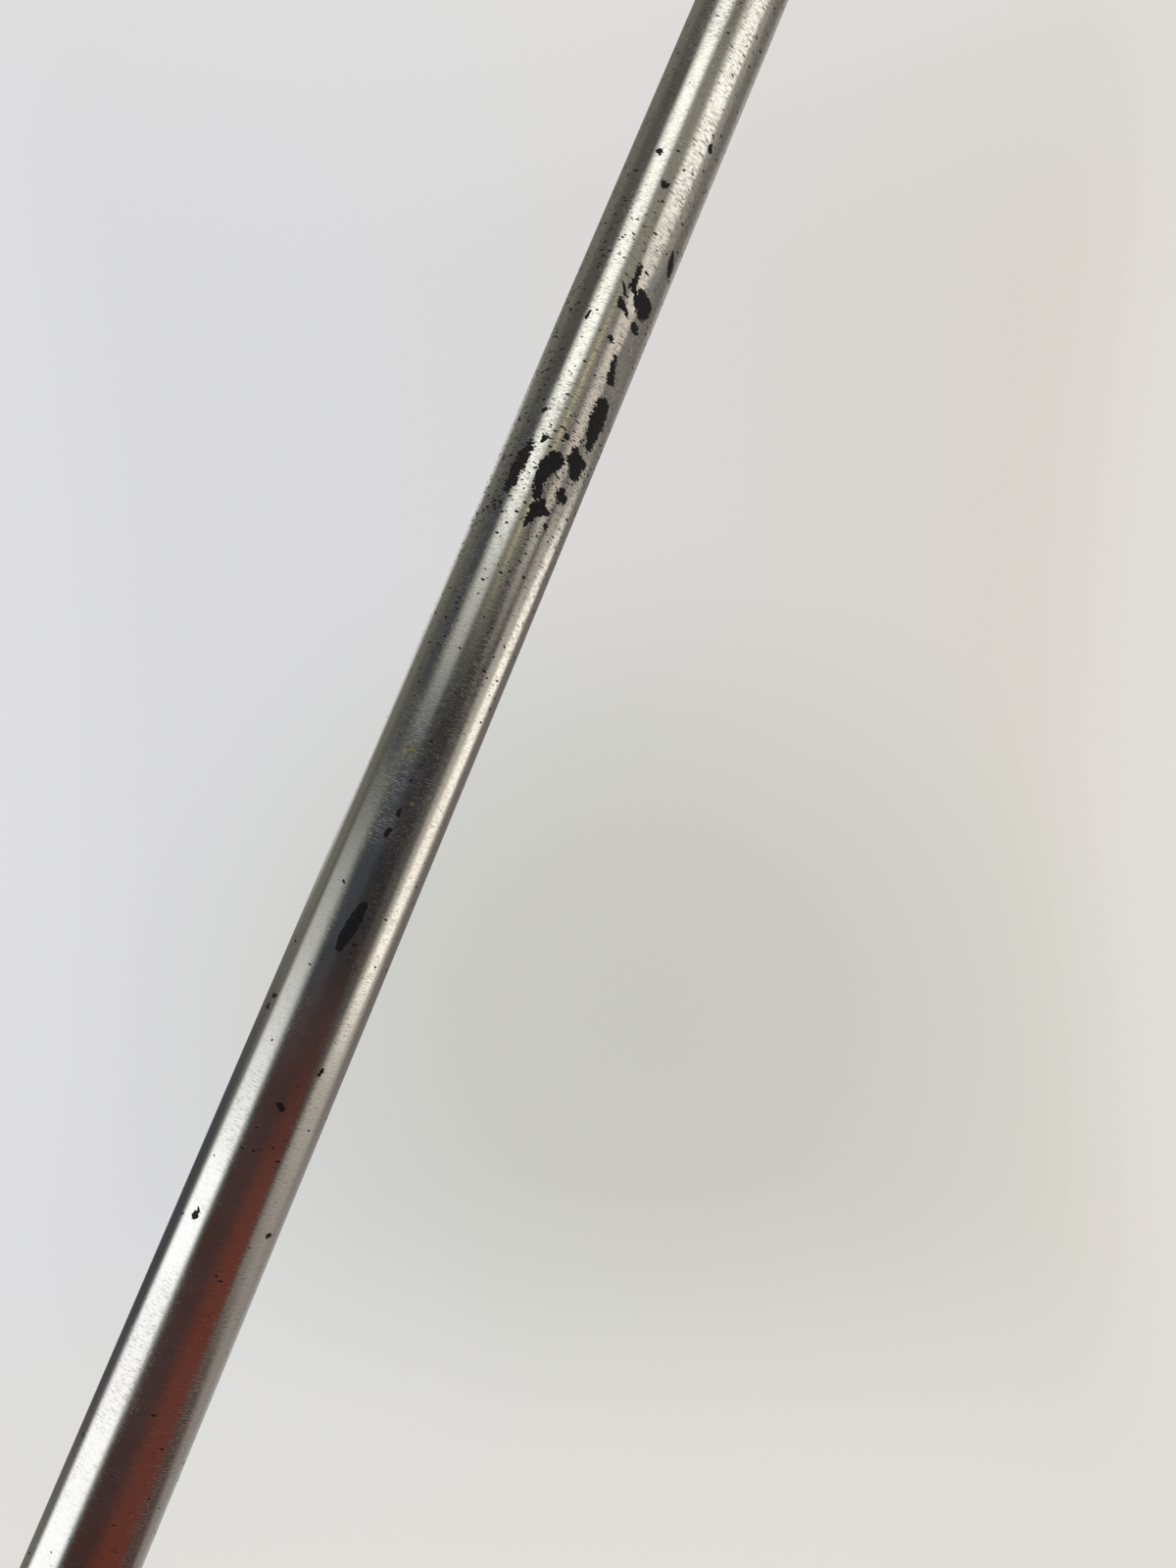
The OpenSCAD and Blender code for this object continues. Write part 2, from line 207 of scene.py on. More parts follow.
def moulded(name, colour, worn, dust, grain=0.35, depth=0.012, roughness=(0.34, 0.5), wear=0.5, **on_shader):
    """A moulded plastic: the fine grain of the tool, a faint flow pattern, paler rubbed edges, short scuffs and
    dust."""
    material, tree, shader, mm = new_material(name, **on_shader)
    edge = add(tree, "ShaderNodeAttribute", attribute_name="edge").outputs["Fac"]
    skin = marks(tree, mm, grain, grain, None, 2)
    flow = marks(tree, mm, 9, 16, (0.3, 0.7), 2)
    scuffs = marks(tree, mm, 2.2, 0.3, (0.64, 0.7), 3)
    rub = both(tree, edge, marks(tree, mm, 1.6, 1.6, (0.42, 0.58), 4))
    settled = marks(tree, mm, 4, 4, (0.5, 0.72), 5)
    painted(tree, shader, linear(colour), [
        (flow, worn, 0.10), (settled, dust, 0.16), (scuffs, worn, 0.45 * wear), (rub, worn, wear)])
    varied(tree, shader, "Roughness", either(tree, settled, scuffs), *roughness)
    relief(tree, shader, [(skin, depth), (scuffs, -0.01)])
    return material


def woven_cloth_tape():
    """Double-sided cloth tape: cream cotton threads about 0.5 mm apart under yellowed glue."""
    material, tree, shader, mm = new_material("woven_cloth_tape", Roughness=0.85)
    warp = add(tree, "ShaderNodeTexWave", {"Vector": mm, "Scale": 0.6, "Distortion": 0.6},
               bands_direction="Z").outputs["Fac"]
    weft = marks(tree, mm, 0.5, 8, None, 1)
    glue = marks(tree, mm, 6, 6, (0.45, 0.7))
    painted(tree, shader, linear("#cbc4ac"), [(warp, "#a79f86", 0.5), (glue, "#b8a676", 0.5)])
    relief(tree, shader, [(warp, 0.05), (weft, 0.03)])
    return material


STEEL = ground_stainless_steel()
# Stainless screws and pins, turned and barrelled: satin metal with brighter, worn patches and dirt in the low
# spots.
FASTENER = finish(
    "turned_stainless_steel", "#bdbab3",
    {"rings": (0.5, 0.12, None, 3), "wear": (1.4, 1.4, (0.42, 0.62)), "dirt": (0.6, 0.6, (0.6, 0.68), 2)},
    [("wear", "#d6d3cb", 0.6), ("dirt", "#5a5148", 0.55)], ("wear", 0.34, 0.2),
    [("rings", 0.004), ("dirt", -0.01)], Metallic=1.0)
# Hard-drawn spring steel wire: fine draw lines, and a darker, oily grey than the tube.
WIRE = finish(
    "drawn_spring_wire", "#b3b1ab", {"lines": (0.12, 0.12, None, 3), "oil": (1.2, 1.2, (0.45, 0.65))},
    [("oil", "#7c776d", 0.5)], ("lines", 0.2, 0.38), [("lines", 0.004)], Metallic=1.0)
# Moulded rubber grip: matt black with a grainy skin, greyed by dust in its pattern and polished by hands.
RUBBER = finish(
    "moulded_rubber", "#1d1d1d",
    {"skin": (0.3, 0.3, None, 4), "hands": (12, 30, (0.4, 0.65), 2), "dust": (3, 5, (0.48, 0.7), 5),
     "lint": (0.35, 1.4, (0.70, 0.75), 2)},
    [("hands", "#292928", 0.6), ("dust", "#5c5850", 0.22), ("lint", "#8a857a", 0.4)], ("hands", 0.72, 0.5),
    [("skin", 0.03), ("dust", 0.01)], IOR=1.52)
# Nitrile seal, pressed and smooth: black with a thin film of silicone grease.
SEAL = finish(
    "nitrile_rubber", "#161616", {"film": (1.2, 1.2, (0.4, 0.65))}, [("film", "#2c2c2a", 0.5)],
    ("film", 0.5, 0.24), [("film", 0.01)], IOR=1.5)
TAPE = woven_cloth_tape()
# Black enamel that has flaked away: a leathery, slightly glossy film with dusty low spots.
ENAMEL = finish(
    "black_enamel", "#0a090c", {"skin": (0.5, 0.7, None, 4), "dust": (0.8, 0.8, (0.5, 0.68), 4)},
    [("dust", "#1d1918", 0.6)], ("skin", 0.45, 0.7), [("skin", 0.06)], IOR=1.45, Specular_IOR_Level=0.3)
# Specks of dried mud and pond weed: dull olive brown, rough and crumbly.
MUD = finish(
    "dried_mud", "#4a4633", {"crumbs": (0.25, 0.25, None, 4), "weed": (0.7, 0.7, (0.45, 0.6))},
    [("weed", "#6f6d3a", 0.7)], None, [("crumbs", 0.08)], Roughness=0.9)
# Nylon is a little waxy; ABS shines more and shows its colour in depth.
COLLAR_NYLON = moulded("moulded_nylon", "#1f1f21", "#5b5a58", "#6d675c")
GLIDE_NYLON = moulded("moulded_glide_nylon", "#2a2a2d", "#4f4f50", "#4d4a44", wear=0.3,
                      roughness=(0.3, 0.42))
CAP_PLASTIC = moulded("moulded_polypropylene", "#1c1c1d", "#565553", "#6d675c", grain=0.5)
HEAD_ABS = moulded("moulded_orange_abs", "#e4531b", "#f08a55", "#9c7a5c", grain=0.45, depth=0.01,
                   roughness=(0.3, 0.46), wear=0.6, IOR=1.53)
GATE_NYLON = moulded("moulded_gate_nylon", "#262628", "#5f5e5c", "#6d675c", grain=0.3)


# ---------------- meshes

def shown(mesh, name, body, slot, material, *stands_for):
    """Makes a piece of a mesh whose points are in metres in the row frame, and lets it ride on its body."""
    piece = bpy.data.objects.new(name, mesh)
    scene.collection.objects.link(piece)
    if material is not None:
        mesh.materials.clear()
        mesh.materials.append(material)
    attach(piece, body)
    if stands_for:
        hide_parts(*stands_for)
    return piece


def as_mesh(bm, name):
    """Writes a bmesh into a new mesh."""
    mesh = bpy.data.meshes.new(name)
    bm.to_mesh(mesh)
    bm.free()
    return mesh


def carried(mesh):
    """A passing object that holds a mesh while modifiers work on it."""
    carrier = bpy.data.objects.new("carrier", mesh)
    scene.collection.objects.link(carrier)
    return carrier


def applied(carrier, *tools):
    """A plain mesh of what a carrier's modifiers make. The carrier and its tools are then removed."""
    bpy.context.view_layer.update()
    mesh = bpy.data.meshes.new_from_object(carrier.evaluated_get(bpy.context.evaluated_depsgraph_get()))
    carrier.modifiers.clear()
    for passing in (carrier, *tools):
        bpy.data.objects.remove(passing)
    return mesh


def finished_mesh(bm, name, smooth_below=38):
    """Makes a bmesh a mesh with its faces outwards, smooth but for its sharp corners."""
    bmesh.ops.recalc_face_normals(bm, faces=bm.faces)
    mesh = as_mesh(bm, name)
    mesh.shade_smooth()
    mesh.set_sharp_from_angle(angle=math.radians(smooth_below))
    return mesh


def eased_outline(outline, ease, steps=3):
    """Rounds each corner of a closed outline of (radius, height), with a point beside each round to hold the
    flats. Returns (radius, height, is on a rounded corner)."""
    out = []
    count = len(outline)
    for i, corner in enumerate(outline):
        here = Vector(corner)
        back, on = Vector(outline[i - 1]) - here, Vector(outline[(i + 1) % count]) - here
        turn = math.pi - back.angle(on) if back.length and on.length else 0.0
        if here.x < 1e-6 or turn < math.radians(4):
            out.append((here.x, here.y, False))
            continue
        cut = min(ease, 0.35 * back.length, 0.35 * on.length)
        start, end = here + back.normalized() * cut, here + on.normalized() * cut
        out.append((*(start + back.normalized() * cut * 0.25), False))
        for k in range(steps + 1):
            t = k / steps
            out.append((*((1 - t) ** 2 * start + 2 * t * (1 - t) * here + t * t * end), True))
        out.append((*(end + on.normalized() * cut * 0.25), False))
    return out


def turned(name, outline, ease=0.25, around=96, place=None, longest=None):
    """A mesh turned about Z from a closed outline of (radius, height) in millimetres, its corners eased.
    place moves it, and longest is the most that a ring of faces may span."""
    points = eased_outline(outline, ease)
    if longest:
        split = []
        for i, (r, z, on) in enumerate(points):
            r2, z2, _ = points[(i + 1) % len(points)]
            parts = max(1, math.ceil(math.hypot(r2 - r, z2 - z) / longest))
            split += [(r + (r2 - r) * k / parts, z + (z2 - z) * k / parts, on) for k in range(parts)]
        points = split
    place = place or Matrix.Identity(4)
    bm = bmesh.new()
    edge = bm.faces.layers.float.new("edge")
    rings = []
    for r, z, _ in points:
        if r < 1e-6:
            rings.append([bm.verts.new(place @ Vector((0, 0, z)) * MM)])
        else:
            rings.append([bm.verts.new(place @ Vector((r * math.cos(a), r * math.sin(a), z)) * MM)
                          for a in (2 * math.pi * k / around for k in range(around))])
    for i, ring in enumerate(rings):
        other = rings[(i + 1) % len(rings)]
        if len(ring) == 1 and len(other) == 1:
            continue
        worn = 1.0 if points[i][2] and points[(i + 1) % len(points)][2] else 0.0
        for k in range(around):
            a, b = ring[k % len(ring)], ring[(k + 1) % around % len(ring)]
            c, d = other[(k + 1) % around % len(other)], other[k % len(other)]
            corners = [a, b, c, d]
            face = bm.faces.new([v for n, v in enumerate(corners) if v not in corners[:n]])
            face[edge] = worn
    return finished_mesh(bm, name)


def eased_copy(node, ease, above=30):
    """A copy of a CAD node with its sharp edges rounded, as a mould leaves them."""
    bm = bmesh.new()
    bm.from_mesh(nodes[node].data)
    bmesh.ops.remove_doubles(bm, verts=bm.verts, dist=0.002 * MM)
    bmesh.ops.dissolve_limit(bm, angle_limit=math.radians(0.5), verts=bm.verts, edges=bm.edges)
    mesh = as_mesh(bm, node + "_eased")
    mesh.shade_smooth()
    for _ in ("flat", "eased"):
        mesh.materials.append(None)
    carrier = carried(mesh)
    bevel = carrier.modifiers.new("ease", "BEVEL")
    bevel.width, bevel.segments, bevel.angle_limit = ease * MM, 3, math.radians(above)
    bevel.miter_outer, bevel.material = "MITER_ARC", 1
    shading = carrier.modifiers.new("shading", "WEIGHTED_NORMAL")
    shading.keep_sharp = True
    done = applied(carrier)
    # the faces of the rounds, which the bevel gave the second slot, are marked as edges that wear
    count = len(done.polygons)
    which = np.zeros(count, np.int32)
    done.polygons.foreach_get("material_index", which)
    done.attributes.new("edge", "FLOAT", "FACE").data.foreach_set("value", which.astype(np.float32))
    done.polygons.foreach_set("material_index", np.zeros(count, np.int32))
    return done


def grown(name, carrier_mesh, tree, values):
    """Runs a Geometry Nodes tree on a mesh and returns the result as a plain mesh."""
    carrier = carried(carrier_mesh)
    grow = carrier.modifiers.new("grow", "NODES")
    grow.node_group = tree
    for item in tree.interface.items_tree:
        if item.in_out == "INPUT" and item.name in values:
            grow[item.identifier] = values[item.name]
    mesh = applied(carrier)
    mesh.name = name
    return mesh


def new_growth(name, **sizes):
    """A Geometry Nodes tree with named inputs. Returns the tree, its inputs' sockets and its last node."""
    tree = bpy.data.node_groups.new(name, "GeometryNodeTree")
    tree.interface.new_socket("Geometry", in_out="INPUT", socket_type="NodeSocketGeometry")
    for label, value in sizes.items():
        kind = ("NodeSocketMaterial" if isinstance(value, bpy.types.Material)
                else "NodeSocketInt" if isinstance(value, int) else "NodeSocketFloat")
        tree.interface.new_socket(label, in_out="INPUT", socket_type=kind).default_value = value
    tree.interface.new_socket("Geometry", in_out="OUTPUT", socket_type="NodeSocketGeometry")
    return tree, add(tree, "NodeGroupInput").outputs, add(tree, "NodeGroupOutput")


def close_growth(tree, last, result, material):
    """Ends a tree: its instances made real, and its material set."""
    real = add(tree, "GeometryNodeRealizeInstances", {0: result})
    dressed = add(tree, "GeometryNodeSetMaterial", {"Geometry": real, "Material": material})
    tree.links.new(dressed.outputs[0], last.inputs[0])


# ---------------- pole

def drilled(mesh, height, radius, reach=20):
    """Drills a cross hole along X through a tube."""
    drill = carried(turned("drill", [(0, -reach), (radius, -reach), (radius, reach), (0, reach)], 0, 32,
                           Matrix.Translation((0, 0, height)) @ ALONG_X))
    tube = carried(mesh)
    cut = tube.modifiers.new("cut", "BOOLEAN")
    cut.operation, cut.solver, cut.object = "DIFFERENCE", "EXACT", drill
    return applied(tube, drill)


SECTIONS = [("outer", "handle"), ("second", "second_section"), ("third", "third_section"),
            ("tip", "tip_section")]
for i, (part, body) in enumerate(SECTIONS):
    tube = turned(f"tube_{part}", [(BORE_R[i], FOOT_Z[i]), (TUBE_R[i], FOOT_Z[i]), (TUBE_R[i], MOUTH_Z[i]),
                                   (BORE_R[i], MOUTH_Z[i])], 0.12, 192 if i == 0 else 128, longest=30)
    if part == "outer":
        tube = drilled(tube, CAP_PIN_Z, CAP_PIN_HOLE_R)
    if part == "tip":
        tube = drilled(tube, HEAD_SCREW_Z, HEAD_SCREW_HOLE_R)
    shown(tube, f"tube_{part}", body, "tube_steel", STEEL, f"{part}_tube")


def ribbing():
    """Soft ribs round a collar, for the fingers that pull it."""
    tree, size, last = new_growth("ribbing", Count=36, Radius=0.01, Middle=0.0, Length=0.008, Width=0.0005,
                                  Proud=0.00035, Material=COLLAR_NYLON)
    circle = add(tree, "GeometryNodeCurvePrimitiveCircle",
                 {"Resolution": size["Count"], "Radius": size["Radius"]})
    lift = add(tree, "ShaderNodeCombineXYZ", {"Z": size["Middle"]})
    lifted = add(tree, "GeometryNodeTransform", {"Geometry": circle, "Translation": lift})
    outward = add(tree, "ShaderNodeVectorMath",
                  {0: add(tree, "GeometryNodeInputPosition"), 1: (1, 1, 0)}, operation="MULTIPLY")
    turn = add(tree, "FunctionNodeAxesToRotation", {0: outward, 1: (0, 0, 1)},
               primary_axis="X", secondary_axis="Z")
    rib = add(tree, "GeometryNodeMeshUVSphere", {"Segments": 8, "Rings": 8, "Radius": 1.0})
    shape = add(tree, "ShaderNodeCombineXYZ", {"X": size["Proud"], "Y": size["Width"], "Z": size["Length"]})
    ribs = add(tree, "GeometryNodeInstanceOnPoints",
               {"Points": lifted, "Instance": rib, "Rotation": turn, "Scale": shape})
    real = add(tree, "GeometryNodeRealizeInstances", {0: ribs})
    smooth = add(tree, "GeometryNodeSetShadeSmooth", {"Geometry": real})
    ribbed = add(tree, "GeometryNodeJoinGeometry", {0: [smooth, size["Geometry"]]})
    close_growth(tree, last, ribbed, size["Material"])
    return tree


RIBBING = ribbing()
for i, (part, body) in enumerate(SECTIONS[:3]):
    # radii of the seat on the tube, the outside, and the guide for the next tube, and heights up the collar
    hold, out, guide = TUBE_R[i] + 0.02, TUBE_R[i] + 2, TUBE_R[i + 1] + 0.05
    low, mouth, high = MOUTH_Z[i] - 18, MOUTH_Z[i], MOUTH_Z[i] + 6
    plain = turned(f"collar_{part}", [
        (hold, low), (out - 1.2, low), (out - 0.4, low + 1.6), (out, low + 4), (out, low + 4.8),
        (out - 0.35, low + 5.3), (out - 0.35, high - 8.2), (out, high - 7.7),
        (out, high - 7), (out - 0.7, high - 6.4), (out - 0.7, high - 5.2), (out, high - 4.6),
        (out, high - 1), (out - 1, high), (guide + 0.4, high), (guide, high - 0.4),
        (guide, mouth + 0.02), (hold, mouth + 0.02)], 0.3, 128)
    mesh = grown(f"collar_{part}", plain, RIBBING, {
        "Count": 40 - 4 * i, "Radius": (out - 0.4) * MM, "Middle": (low + 10.55) * MM, "Length": 4.6 * MM,
        "Width": 0.42 * MM, "Proud": 0.38 * MM, "Material": COLLAR_NYLON})
    shown(mesh, f"collar_{part}", body, "collar_nylon", None, f"{part}_collar")


# ---------------- grip and butt

STUDS = {"Rows": 42, "Across": 26, "Low": 74 * MM, "Pitch": 3.15 * MM, "Half_Width": 1.05 * MM,
         "Half_Length": 2.1 * MM, "Proud": 0.7 * MM, "Outside": 30 * MM, "Material": RUBBER}


def grip_pattern():
    """Lozenge studs in staggered rows, each dropped onto the grip from outside, so they follow its taper."""
    tree, size, last = new_growth("grip_pattern", **STUDS)
    count = add(tree, "ShaderNodeMath", {0: size["Rows"], 1: size["Across"]}, operation="MULTIPLY")
    dots = add(tree, "GeometryNodePoints", {"Count": count})
    index = add(tree, "GeometryNodeInputIndex")
    rows_passed = add(tree, "ShaderNodeMath", {0: index, 1: size["Across"]}, operation="DIVIDE")
    row = add(tree, "ShaderNodeMath", {0: rows_passed}, operation="FLOOR")
    odd = add(tree, "ShaderNodeMath", {0: row, 1: 2.0}, operation="MODULO")
    staggered = add(tree, "ShaderNodeMath", {0: odd, 1: 0.5, 2: index}, operation="MULTIPLY_ADD")
    turns = add(tree, "ShaderNodeMath", {0: staggered, 1: size["Across"]}, operation="DIVIDE")
    angle = add(tree, "ShaderNodeMath", {0: turns, 1: math.tau}, operation="MULTIPLY")
    x, y = (add(tree, "ShaderNodeMath", {0: angle}, operation=way) for way in ("COSINE", "SINE"))
    z = add(tree, "ShaderNodeMath", {0: row, 1: size["Pitch"], 2: size["Low"]}, operation="MULTIPLY_ADD")
    outward = add(tree, "ShaderNodeCombineXYZ", {"X": x, "Y": y})
    lift = add(tree, "ShaderNodeCombineXYZ", {"Z": z})
    start = add(tree, "ShaderNodeVectorMath", {0: outward, 1: size["Outside"], 2: lift},
                operation="MULTIPLY_ADD")
    inward = add(tree, "ShaderNodeVectorMath", {0: outward, "Scale": -1.0}, operation="SCALE")
    hit = add(tree, "GeometryNodeRaycast", {"Target Geometry": size["Geometry"], "Source Position": start,
                                            "Ray Direction": inward, "Ray Length": size["Outside"]})
    placed = add(tree, "GeometryNodeSetPosition",
                 {"Geometry": dots, "Position": hit.outputs["Hit Position"]})
    turn = add(tree, "FunctionNodeAxesToRotation", {0: hit.outputs["Hit Normal"], 1: (0, 0, 1)},
               primary_axis="Z", secondary_axis="X")
    keep = add(tree, "GeometryNodeCaptureAttribute", {"Geometry": placed})
    keep.capture_items.new("ROTATION", "Turn")
    tree.links.new(turn.outputs[0], keep.inputs[1])
    stud = add(tree, "GeometryNodeMeshCone", {"Vertices": 4, "Side Segments": 2, "Radius Top": 0.62,
                                              "Radius Bottom": 1.0, "Depth": 1.0})
    shape = add(tree, "ShaderNodeCombineXYZ",
                {"X": size["Half_Length"], "Y": size["Half_Width"], "Z": size["Proud"]})
    studs = add(tree, "GeometryNodeInstanceOnPoints", {"Points": keep, "Instance": stud,
                                                       "Rotation": keep.outputs[1], "Scale": shape})
    studded = add(tree, "GeometryNodeJoinGeometry", {0: [studs, size["Geometry"]]})
    close_growth(tree, last, studded, size["Material"])
    return tree


def ring_grooves(outline, heights, radius_at, depth=0.5, width=1.1):
    """Adds shallow grooves to the outside of an outline, from the bottom up."""
    out = list(outline)
    for z in heights:
        r = radius_at(z)
        out += [(r, z - width / 2), (r - depth, z - width / 4), (r - depth, z + width / 4),
                (r, z + width / 2)]
    return out


GRIP_TAPER = [(22.8, GRIP_R), (60, GRIP_R), (72, 13.6), (172, 12.6), (218, 12.2), (230, 11.8)]  # height, radius


def grip_radius(z):
    return float(np.interp(z, [a for a, _ in GRIP_TAPER], [b for _, b in GRIP_TAPER]))


lower = ring_grooves([(9.65, 22.02), (13.7, 22.02), (GRIP_R, 22.8)], (26, 29, 32), grip_radius)
middle = ring_grooves(lower, (52, 55), grip_radius) + [(GRIP_R, 60), (13.6, 72), (12.6, 172)]
grip_outline = ring_grooves(middle, (209, 212, 215), grip_radius) + [
    (12.2, 218), (11.8, 230), (11.2, GRIP_TOP), (9.65, GRIP_TOP)]
grip_mesh = turned("grip_moulded", grip_outline, 0.4, 128)
shown(grown("grip_moulded", grip_mesh, grip_pattern(), STUDS), "grip_moulded", "handle", "grip_rubber", None,
      "grip")

shown(turned("ferrule_cone", [
    (9.52, 232.2), (11.6, 232.2), (12, 232.8), (12, 234.6), (11.3, 235.2), (11.0, 237.2), (11.25, 237.5),
    (11.2, 238.3), (10.85, 238.6), (10, 246.2), (9.52, 246.2)], 0.25, 128),
    "ferrule_cone", "handle", "cap_plastic", CAP_PLASTIC, "grip_ferrule")


# ---------------- cap, head and gate

for name, node, ease, body, slot, material in (
        ("cap_butt", "butt_cap", 0.45, "handle", "cap_plastic", CAP_PLASTIC),
        ("ring_head", "head_frame", 0.45, "tip_section", "head_plastic", HEAD_ABS),
        ("gate_flap", "gate", 0.28, "gate", "gate_plastic", GATE_NYLON),
        ("screw_head", "head_screw", 0.12, "tip_section", "fastener_steel", FASTENER),
        ("nut_head", "head_nut", 0.2, "tip_section", "fastener_steel", FASTENER)):
    shown(eased_copy(node, ease), name, body, slot, material, node)
shown(turned("washer_head", [(1.6, 6.92), (3.5, 6.92), (3.5, 7.42), (1.6, 7.42)], 0.12, 64,
             Matrix.Translation((0, 0, HEAD_SCREW_Z)) @ ALONG_X),
      "washer_head", "tip_section", "fastener_steel", FASTENER, "head_washer")
shown(turned("pin_gate", [(0, -18.5), (0.9, -18.5), (1.48, -17.9), (1.48, 17.9), (0.9, 18.5), (0, 18.5)],
             0.2, 48, RING @ Matrix.Translation(PIVOT) @ ALONG_X),
      "pin_gate", "tip_section", "fastener_steel", FASTENER, "gate_pin")


def wire_path():
    """The spring's path, as it is wound: a leg on the ring's wall, a coil round the pin, and a leg on the gate.
    It is two runs that share the coil's last quarter turn. One stays on the ring, and the other turns with the
    gate, so no gap opens between them."""
    wall_leg, leaf_leg = 14.5, 8.5  # how far the legs lean, in degrees
    coil_r, pitch, turns, steps = 2.3, 1.1, 5, 200
    sweep = 360 * turns + 90 - wall_leg + leaf_leg
    half = pitch * sweep / 720

    def coil(t):
        a = math.radians(-wall_leg - t * sweep)
        return Vector((half - 2 * half * t, coil_r * math.sin(a), coil_r * math.cos(a)))

    wall, leaf = math.radians(wall_leg), math.radians(leaf_leg)
    wound = [coil(k / steps) for k in range(steps + 1)]
    stays = [coil(0) + 12.5 * Vector((0, math.cos(wall), math.sin(wall)))] + wound
    turns_too = wound[-1 - math.ceil(steps * 90 / sweep):] + [
        coil(1) + 4.2 * Vector((0, math.sin(leaf), -math.cos(leaf))),
        coil(1) + Vector((0, 4.2 * math.sin(leaf), -7.4))]
    return [[RING @ (Vector(PIVOT) + p) * MM for p in run] for run in (stays, turns_too)]


def wound_wire():
    """Round wire along a path."""
    tree, size, last = new_growth("wound_wire", Radius=0.0003, Sides=12, Material=WIRE)
    line = add(tree, "GeometryNodeMeshToCurve", {0: size["Geometry"]})
    section = add(tree, "GeometryNodeCurvePrimitiveCircle",
                  {"Resolution": size["Sides"], "Radius": size["Radius"]})
    wire = add(tree, "GeometryNodeCurveToMesh", {"Curve": line, "Profile Curve": section, "Fill Caps": True})
    close_growth(tree, last, add(tree, "GeometryNodeSetShadeSmooth", {"Geometry": wire}), size["Material"])
    return tree


WOUND_WIRE = wound_wire()
stays, turns_too = wire_path()
# the turning leg is a hair thicker, so that the stretch that the two share shows no flicker
for name, body, run, wire_r, stands_for in (
        ("spring_gate", "tip_section", stays, 0.32, ["gate_spring"]),
        ("spring_leg", "gate", turns_too, 0.323, [])):
    line = bpy.data.meshes.new("wire_line")
    line.from_pydata(run, [(k, k + 1) for k in range(len(run) - 1)], [])
    wire = grown(name, line, WOUND_WIRE, {"Radius": wire_r * MM, "Sides": 12, "Material": WIRE})
    wire.set_sharp_from_angle(angle=math.radians(50))
    shown(wire, name, body, "spring_steel", None, *stands_for)


# ---------------- paint left on the pole

# Flakes of black enamel on the outer tube. Each is one or more runs, and a run is a stroke that tapers from
# point to point: (height in mm, turn from -Y towards +X in degrees, half width in mm).
FLAKES = [
    [[(566.5, 35, 2.3), (567.9, 29, 1.0)], [(566.5, 35, 2.0), (564.6, 38, 1.2)]],
    [[(567.6, 17, 0.7), (568.4, 11, 0.55)], [(568.4, 11, 0.5), (569.4, 13, 0.6), (572.9, 12, 0.35)]],
    [[(568.2, -1, 0.16), (565.7, 8, 0.3)]],
    [[(563.9, 8, 0.5), (562.2, 19, 0.4)], [(562.9, 7, 0.45), (564.6, 4, 0.3)]],
    [[(561.1, 36, 0.8), (560.6, 38, 0.6)]],
    [[(555.7, 12, 0.55)]],
    [[(553.1, 27, 0.35), (549.6, 31, 0.55), (548.2, 33, 0.85)]],
    [[(543.0, 38, 1.2), (539.3, 40, 1.7), (535.8, 40, 1.1), (533.4, 42, 0.5)]],
    [[(527.0, 8, 1.8), (524.7, 1, 1.5), (521.8, 0, 1.0), (518.8, 3, 0.8)]],
    [[(530.6, 27, 1.0), (528.9, 34, 1.8), (526.6, 38, 1.1)], [(529.4, 34, 1.0), (529.6, 42, 0.9)]],
    [[(516.4, 11, 1.6), (516.6, 22, 0.7)], [(516.0, 9, 1.0), (514.0, 6, 0.7), (512.4, 3, 0.4)],
     [(516.8, 12, 1.2), (518.3, 14, 0.5)]],
    [[(522.2, 31, 0.5), (521.2, 33, 1.15)]],
    [[(514.0, 28, 0.5)]],
    [[(528.6, -27, 0.5), (525.0, -30, 1.1), (521.2, -32, 0.9), (518.2, -33, 0.5)], [(515.0, -34, 0.3)]],
    [[(530.6, -14, 0.65), (529.6, -16, 0.35)]],
    [[(532.4, 9, 0.5)]],
    [[(592.0, 1, 0.75), (592.4, -2, 0.4)]],
    [[(598.9, -22, 0.6)]],
    [[(605.6, 39, 0.55), (606.6, 38, 0.3)]],
    [[(593.8, -43, 0.33)]],
    [[(580.8, 48, 0.35), (578.7, 55, 0.65), (576.5, 58, 0.35)]],
    [[(536.6, -27, 0.45), (535.6, -30, 0.25)]],
    [[(559.6, -24, 0.25), (558.0, -25, 0.3)]],
    [[(514.3, -41, 0.35)]],
    [[(556.2, -4, 0.3)]],
    [[(572.6, 22, 0.3), (572.4, 26, 0.2)]],
    [[(447.8, -3, 0.45), (446.6, -5, 0.35)]],
    [[(451.9, -1, 0.3), (450.9, -1, 0.35)]],
    [[(403.7, 32, 0.35), (402.6, 31, 0.2)]],
    [[(373.7, -35, 0.5), (374.9, -34, 0.25)]],
    [[(374.0, 53, 0.4)]],
    [[(396.0, 1, 0.3), (395.4, 7, 0.5)]],
    [[(412.6, -57, 0.4)]],
    [[(410.4, -60, 0.3)]],
]
DRIP = [[[(433.4, 3, 0.7), (430.6, 1, 1.2), (427.4, -2, 1.15), (424.8, -3.5, 0.7)]]]
MUD_SPOTS = [[[(463.2, -18, 0.45), (463.6, -14, 0.35)]], [[(461.7, -15, 0.5)]], [[(453.8, 9, 0.3)]]]


